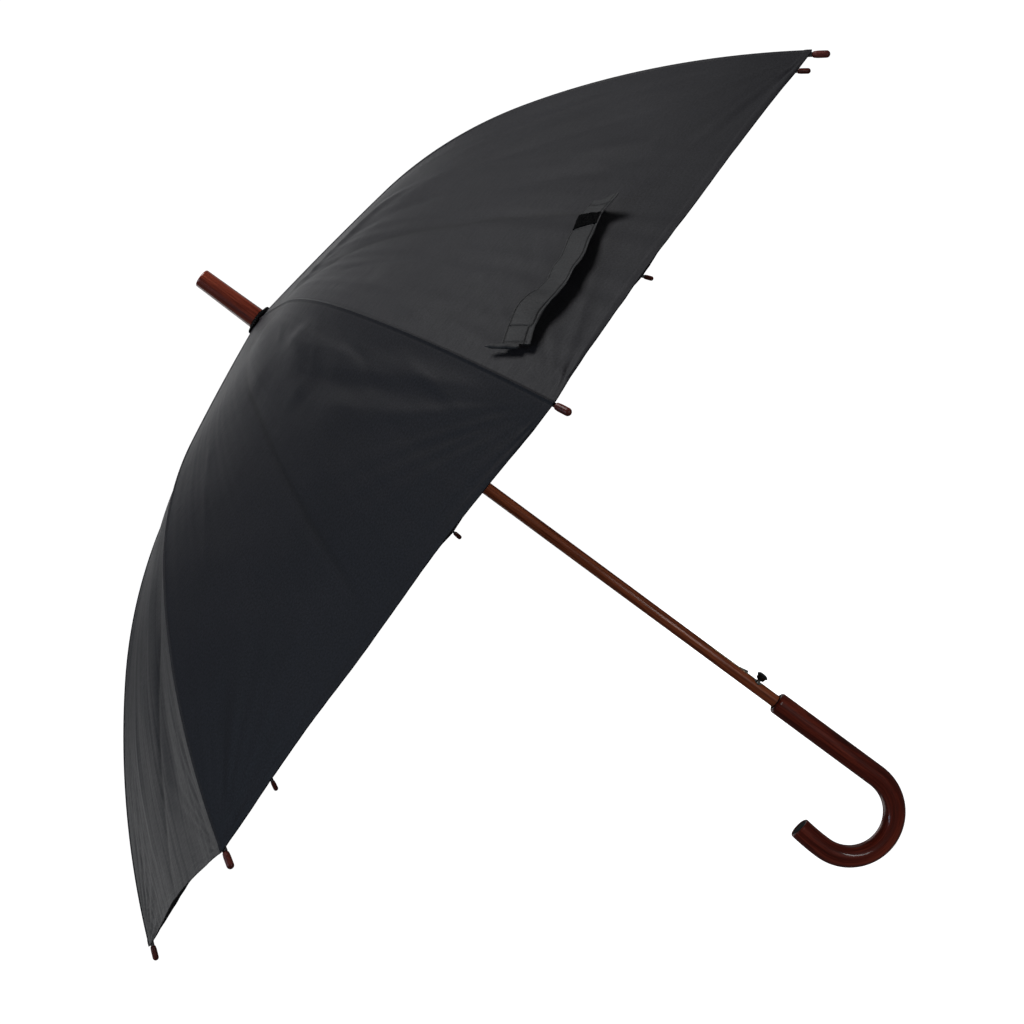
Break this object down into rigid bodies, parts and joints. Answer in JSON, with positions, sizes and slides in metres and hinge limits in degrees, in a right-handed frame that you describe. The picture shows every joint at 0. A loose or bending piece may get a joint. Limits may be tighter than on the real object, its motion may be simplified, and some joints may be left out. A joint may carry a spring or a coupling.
{
  "type": "stick umbrella",
  "caption": "Stick umbrella with a domed cloth canopy on folding ribs, a sliding runner, a wooden shaft with a push-button catch and a crook handle.",
  "frame": {"origin": "middle of the straight grip, on the shaft axis", "axes": "+Z along the shaft towards the ferrule; the crook bends towards -X; the button faces +X, turned 15 degrees towards -Y"},
  "size_m": [1.0298, 1.0298, 0.8359],
  "materials": {
    "shaft_wood": "glossy lacquered red-brown wood",
    "handle_wood": "high-gloss lacquer, deep reddish brown",
    "ferrule_wood": "glossy lacquered red-brown wood",
    "tip_wood": "satin turned wood",
    "black_plastic": "satin black",
    "button_plastic": "glossy black",
    "black_metal": "black enamel",
    "bright_steel": "bright nickel",
    "rib_steel": "plain galvanised steel",
    "brass": "plain brass",
    "cloth": "charcoal pongee, soft sheen",
    "strap_cloth": "black doubled pongee with stitching"
  },
  "bodies": {
    "root": {"shaft": "shaft_wood", "handle": "handle_wood", "handle_collar": "black_plastic", "handle_end_plug": "black_plastic", "ferrule": "ferrule_wood", "crown_cap": "black_metal", "top_notch": "black_metal", "notch_wire": "bright_steel", "notch_pin": "bright_steel", "opening_spring": "bright_steel", "catch_liner": "brass", "catch_pin": "bright_steel", "button_bush": "bright_steel"},
    "button": {"button_stem": "bright_steel", "button_cap": "button_plastic"},
    "catch": {"catch_leaf": "bright_steel"},
    "rib_1": {"rib_1": "rib_steel", "rib_tip_1": "tip_wood", "joint_rivet_1": "bright_steel"},
    "rib_2": {"rib_2": "rib_steel", "rib_tip_2": "tip_wood", "joint_rivet_2": "bright_steel"},
    "rib_3": {"rib_3": "rib_steel", "rib_tip_3": "tip_wood", "joint_rivet_3": "bright_steel"},
    "rib_4": {"rib_4": "rib_steel", "rib_tip_4": "tip_wood", "joint_rivet_4": "bright_steel"},
    "rib_5": {"rib_5": "rib_steel", "rib_tip_5": "tip_wood", "joint_rivet_5": "bright_steel"},
    "rib_6": {"rib_6": "rib_steel", "rib_tip_6": "tip_wood", "joint_rivet_6": "bright_steel"},
    "rib_7": {"rib_7": "rib_steel", "rib_tip_7": "tip_wood", "joint_rivet_7": "bright_steel"},
    "rib_8": {"rib_8": "rib_steel", "rib_tip_8": "tip_wood", "joint_rivet_8": "bright_steel"},
    "stretcher_1": {"stretcher_1": "rib_steel"},
    "stretcher_2": {"stretcher_2": "rib_steel"},
    "stretcher_3": {"stretcher_3": "rib_steel"},
    "stretcher_4": {"stretcher_4": "rib_steel"},
    "stretcher_5": {"stretcher_5": "rib_steel"},
    "stretcher_6": {"stretcher_6": "rib_steel"},
    "stretcher_7": {"stretcher_7": "rib_steel"},
    "stretcher_8": {"stretcher_8": "rib_steel"},
    "runner": {"runner": "black_metal", "runner_wire": "bright_steel", "drive_pin": "bright_steel"},
    "gore_1": {"gore_1": "cloth"},
    "gore_2": {"gore_2": "cloth"},
    "gore_3": {"gore_3": "cloth"},
    "gore_4": {"gore_4": "cloth"},
    "gore_5": {"gore_5": "cloth"},
    "gore_6": {"gore_6": "cloth"},
    "gore_7": {"gore_7": "cloth", "tie_strap": "strap_cloth"},
    "gore_8": {"gore_8": "cloth"}
  },
  "joints": [
    {"name": "rib_1_hinge", "type": "hinge", "parent": "root", "child": "rib_1", "pos_m": [0.00892, 0.00118, 0.65374], "axis": [-0.1305, 0.9914, 0], "range_deg": [0, 61], "stiffness_Nm_per_rad": 1, "springref_deg": -171.89},
    {"name": "rib_2_hinge", "type": "hinge", "parent": "root", "child": "rib_2", "pos_m": [0.00548, 0.00714, 0.65374], "axis": [-0.7934, 0.6088, 0], "range_deg": [-0.5, 61.5]},
    {"name": "rib_3_hinge", "type": "hinge", "parent": "root", "child": "rib_3", "pos_m": [-0.00118, 0.00892, 0.65374], "axis": [-0.9914, -0.1305, 0], "range_deg": [-0.5, 61.5]},
    {"name": "rib_4_hinge", "type": "hinge", "parent": "root", "child": "rib_4", "pos_m": [-0.00714, 0.00548, 0.65374], "axis": [-0.6088, -0.7934, 0], "range_deg": [-0.5, 61.5]},
    {"name": "rib_5_hinge", "type": "hinge", "parent": "root", "child": "rib_5", "pos_m": [-0.00892, -0.00118, 0.65374], "axis": [0.1305, -0.9914, 0], "range_deg": [-0.5, 61.5]},
    {"name": "rib_6_hinge", "type": "hinge", "parent": "root", "child": "rib_6", "pos_m": [-0.00548, -0.00714, 0.65374], "axis": [0.7934, -0.6088, 0], "range_deg": [-0.5, 61.5]},
    {"name": "rib_7_hinge", "type": "hinge", "parent": "root", "child": "rib_7", "pos_m": [0.00118, -0.00892, 0.65374], "axis": [0.9914, 0.1305, 0], "range_deg": [-0.5, 61.5]},
    {"name": "rib_8_hinge", "type": "hinge", "parent": "root", "child": "rib_8", "pos_m": [0.00714, -0.00548, 0.65374], "axis": [0.6088, 0.7934, 0], "range_deg": [-0.5, 61.5]},
    {"name": "stretcher_1_hinge", "type": "hinge", "parent": "rib_1", "child": "stretcher_1", "pos_m": [0.25207, 0.03319, 0.59047], "axis": [-0.1305, 0.9914, 0], "range_deg": [-123, 1]},
    {"name": "stretcher_2_hinge", "type": "hinge", "parent": "rib_2", "child": "stretcher_2", "pos_m": [0.15477, 0.20171, 0.59047], "axis": [-0.7934, 0.6088, 0], "range_deg": [-123, 1]},
    {"name": "stretcher_3_hinge", "type": "hinge", "parent": "rib_3", "child": "stretcher_3", "pos_m": [-0.03319, 0.25207, 0.59047], "axis": [-0.9914, -0.1305, 0], "range_deg": [-123, 1]},
    {"name": "stretcher_4_hinge", "type": "hinge", "parent": "rib_4", "child": "stretcher_4", "pos_m": [-0.20171, 0.15477, 0.59047], "axis": [-0.6088, -0.7934, 0], "range_deg": [-123, 1]},
    {"name": "stretcher_5_hinge", "type": "hinge", "parent": "rib_5", "child": "stretcher_5", "pos_m": [-0.25207, -0.03319, 0.59047], "axis": [0.1305, -0.9914, 0], "range_deg": [-123, 1]},
    {"name": "stretcher_6_hinge", "type": "hinge", "parent": "rib_6", "child": "stretcher_6", "pos_m": [-0.15477, -0.20171, 0.59047], "axis": [0.7934, -0.6088, 0], "range_deg": [-123, 1]},
    {"name": "stretcher_7_hinge", "type": "hinge", "parent": "rib_7", "child": "stretcher_7", "pos_m": [0.03319, -0.25207, 0.59047], "axis": [0.9914, 0.1305, 0], "range_deg": [-123, 1]},
    {"name": "stretcher_8_hinge", "type": "hinge", "parent": "rib_8", "child": "stretcher_8", "pos_m": [0.20171, -0.15477, 0.59047], "axis": [0.6088, 0.7934, 0], "range_deg": [-123, 1]},
    {"name": "runner_slide_link", "type": "hinge", "parent": "stretcher_1", "child": "runner", "pos_m": [0.00892, 0.00118, 0.5272], "axis": [-0.1305, 0.9914, 0], "range_deg": [-0.5, 61.5], "deforming": ["opening_spring", "catch_leaf"]},
    {"name": "gore_1_fold", "type": "hinge", "parent": "rib_1", "child": "gore_1", "pos_m": [0.00193, 0.00111, 0.64965], "axis": [-0.7607, -0.4392, -0.478], "range_deg": [-0.5, 45.3], "deforming": ["gore_1"]},
    {"name": "gore_2_fold", "type": "hinge", "parent": "rib_2", "child": "gore_2", "pos_m": [0.00058, 0.00215, 0.64965], "axis": [-0.2273, -0.8484, -0.478], "range_deg": [-0.5, 45.3], "deforming": ["gore_2"]},
    {"name": "gore_3_fold", "type": "hinge", "parent": "rib_3", "child": "gore_3", "pos_m": [-0.00111, 0.00193, 0.64965], "axis": [0.4392, -0.7607, -0.478], "range_deg": [-0.5, 45.3], "deforming": ["gore_3"]},
    {"name": "gore_4_fold", "type": "hinge", "parent": "rib_4", "child": "gore_4", "pos_m": [-0.00215, 0.00058, 0.64965], "axis": [0.8484, -0.2273, -0.478], "range_deg": [-0.5, 45.3], "deforming": ["gore_4"]},
    {"name": "gore_5_fold", "type": "hinge", "parent": "rib_5", "child": "gore_5", "pos_m": [-0.00193, -0.00111, 0.64965], "axis": [0.7607, 0.4392, -0.478], "range_deg": [-0.5, 45.3], "deforming": ["gore_5"]},
    {"name": "gore_6_fold", "type": "hinge", "parent": "rib_6", "child": "gore_6", "pos_m": [-0.00058, -0.00215, 0.64965], "axis": [0.2273, 0.8484, -0.478], "range_deg": [-0.5, 45.3], "deforming": ["gore_6"]},
    {"name": "gore_7_fold", "type": "hinge", "parent": "rib_7", "child": "gore_7", "pos_m": [0.00111, -0.00193, 0.64965], "axis": [-0.4392, 0.7607, -0.478], "range_deg": [-0.5, 45.3], "deforming": ["gore_7", "tie_strap"]},
    {"name": "gore_8_fold", "type": "hinge", "parent": "rib_8", "child": "gore_8", "pos_m": [0.00215, -0.00058, 0.64965], "axis": [-0.8484, 0.2273, -0.478], "range_deg": [-0.5, 45.3], "deforming": ["gore_8"]},
    {"name": "button_press", "type": "slide", "parent": "root", "child": "button", "axis": [-0.9659, 0.2588, 0], "range_m": [0, 0.0024], "stiffness_N_per_m": 900, "springref_m": -0.002},
    {"name": "catch_pivot", "type": "hinge", "parent": "root", "child": "catch", "pos_m": [0.00493, -0.00132, 0.1408], "axis": [0.2588, 0.9659, 0], "range_deg": [-0.1, 2.72]}
  ],
  "couplings": [
    {"joint": "rib_2_hinge", "follows": "rib_1_hinge", "ratio": 1},
    {"joint": "rib_3_hinge", "follows": "rib_1_hinge", "ratio": 1},
    {"joint": "rib_4_hinge", "follows": "rib_1_hinge", "ratio": 1},
    {"joint": "rib_5_hinge", "follows": "rib_1_hinge", "ratio": 1},
    {"joint": "rib_6_hinge", "follows": "rib_1_hinge", "ratio": 1},
    {"joint": "rib_7_hinge", "follows": "rib_1_hinge", "ratio": 1},
    {"joint": "rib_8_hinge", "follows": "rib_1_hinge", "ratio": 1},
    {"joint": "stretcher_1_hinge", "follows": "rib_1_hinge", "ratio": -2},
    {"joint": "stretcher_2_hinge", "follows": "rib_1_hinge", "ratio": -2},
    {"joint": "stretcher_3_hinge", "follows": "rib_1_hinge", "ratio": -2},
    {"joint": "stretcher_4_hinge", "follows": "rib_1_hinge", "ratio": -2},
    {"joint": "stretcher_5_hinge", "follows": "rib_1_hinge", "ratio": -2},
    {"joint": "stretcher_6_hinge", "follows": "rib_1_hinge", "ratio": -2},
    {"joint": "stretcher_7_hinge", "follows": "rib_1_hinge", "ratio": -2},
    {"joint": "stretcher_8_hinge", "follows": "rib_1_hinge", "ratio": -2},
    {"joint": "runner_slide_link", "follows": "rib_1_hinge", "ratio": 1},
    {"joint": "gore_1_fold", "follows": "rib_1_hinge", "ratio": 0.7344},
    {"joint": "gore_2_fold", "follows": "rib_1_hinge", "ratio": 0.7344},
    {"joint": "gore_3_fold", "follows": "rib_1_hinge", "ratio": 0.7344},
    {"joint": "gore_4_fold", "follows": "rib_1_hinge", "ratio": 0.7344},
    {"joint": "gore_5_fold", "follows": "rib_1_hinge", "ratio": 0.7344},
    {"joint": "gore_6_fold", "follows": "rib_1_hinge", "ratio": 0.7344},
    {"joint": "gore_7_fold", "follows": "rib_1_hinge", "ratio": 0.7344},
    {"joint": "gore_8_fold", "follows": "rib_1_hinge", "ratio": 0.7344},
    {"joint": "catch_pivot", "follows": "button_press", "rad_per_m": 17.575}
  ]
}
